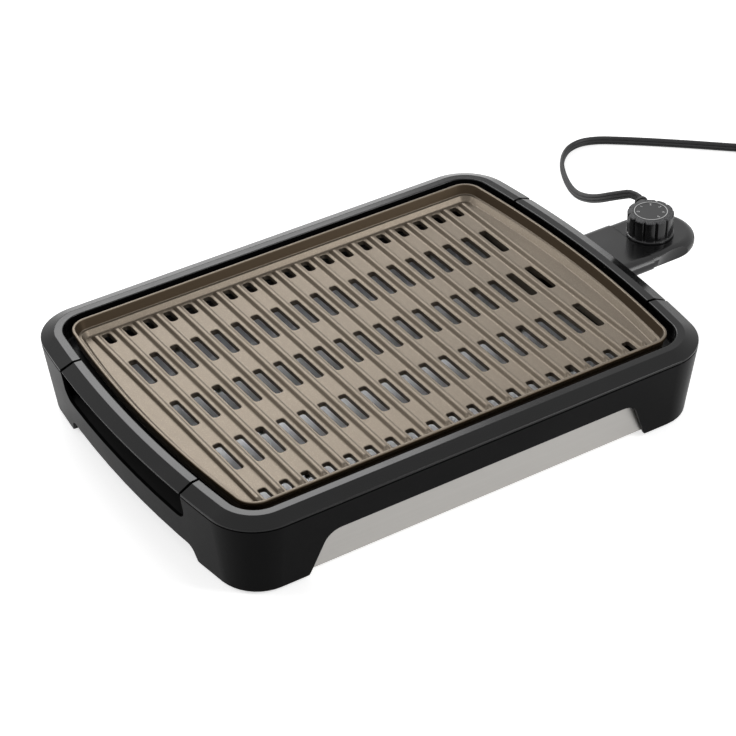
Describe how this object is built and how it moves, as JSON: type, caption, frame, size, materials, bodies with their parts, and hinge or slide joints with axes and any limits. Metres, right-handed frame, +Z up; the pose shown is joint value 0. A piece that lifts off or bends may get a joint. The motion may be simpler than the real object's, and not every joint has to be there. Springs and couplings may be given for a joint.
{
  "type": "electric countertop grill",
  "caption": "Electric countertop grill with a slotted lift-off plate, a drip tray in a moulded base, and a plug-in temperature control with a flat cord.",
  "frame": {"origin": "on the surface that the four feet stand on, under the middle of the box round grill and control together", "axes": "+X along the long side towards the temperature control, +Y towards the rear, +Z up"},
  "size_m": [0.7688, 0.3894, 0.082],
  "materials": {
    "skirt": "moulded, satin",
    "front_rim": "moulded, semi-gloss",
    "rear_rim": "moulded, semi-gloss",
    "left_grip": "moulded, semi-gloss",
    "right_grip": "moulded, semi-gloss",
    "plate_bed": "heat-proof moulding, matt",
    "plate_rests": "heat-proof pad",
    "steel_liner": "brushed sheet",
    "rubber_feet": "moulded",
    "frame_screws": "zinc plated",
    "probe_dock": "moulded, satin",
    "dock_screws": "zinc plated",
    "drip_tray": "pressed sheet",
    "grill_plate": "cast, bronze non-stick coating",
    "heating_element": "oxidised tube",
    "element_clips": "bare sheet",
    "terminal_pins": "plated",
    "sensor_channel": "bare",
    "control_upper": "moulded, polished",
    "control_lower": "moulded, polished",
    "control_screws": "zinc plated",
    "contact_block": "thermoset",
    "contact_springs": "sprung strip",
    "sensor_rod": "ground",
    "thermostat": "ceramic body, stood in by plastic",
    "knob_shaft": "turned",
    "temperature_knob": "moulded",
    "knob_dial": "printed face with a light ring",
    "strain_relief": "moulded",
    "cord_run": "flat jacketed cord",
    "cord_coil": "flat jacketed cord",
    "plug_body": "moulded",
    "plug_blades": "plated strip"
  },
  "bodies": {
    "base": {"skirt": "skirt", "front_rim": "front_rim", "rear_rim": "rear_rim", "left_grip": "left_grip", "right_grip": "right_grip", "plate_bed": "plate_bed", "plate_rests": "plate_rests", "steel_liner": "steel_liner", "rubber_feet": "rubber_feet", "frame_screws": "frame_screws", "probe_dock": "probe_dock", "dock_screws": "dock_screws"},
    "tray": {"drip_tray": "drip_tray"},
    "plate": {"grill_plate": "grill_plate", "heating_element": "heating_element", "element_clips": "element_clips", "terminal_pins": "terminal_pins", "sensor_channel": "sensor_channel"},
    "control": {"control_upper": "control_upper", "control_lower": "control_lower", "control_screws": "control_screws", "contact_block": "contact_block", "contact_springs": "contact_springs", "sensor_rod": "sensor_rod", "thermostat": "thermostat", "strain_relief": "strain_relief", "cord_run": "cord_run", "cord_coil": "cord_coil", "plug_body": "plug_body", "plug_blades": "plug_blades"},
    "knob": {"knob_shaft": "knob_shaft", "temperature_knob": "temperature_knob", "knob_dial": "knob_dial"}
  },
  "joints": [
    {"name": "plate_lift", "type": "slide", "parent": "base", "child": "plate", "axis": [0, 0, 1], "range_m": [0, 0.12]},
    {"name": "tray_lift", "type": "slide", "parent": "base", "child": "tray", "axis": [0, 0, 1], "range_m": [0, 0.048]},
    {"name": "probe_pull", "type": "slide", "parent": "base", "child": "control", "axis": [1, 0, 0], "range_m": [0, 0.1]},
    {"name": "knob_turn", "type": "hinge", "parent": "control", "child": "knob", "pos_m": [0.23055, 0, 0.07], "axis": [0, 0, 1], "range_deg": [-270, 0]}
  ],
  "couplings": [
    {"joint": "tray_lift", "follows": "plate_lift", "ratio": 0.4}
  ]
}
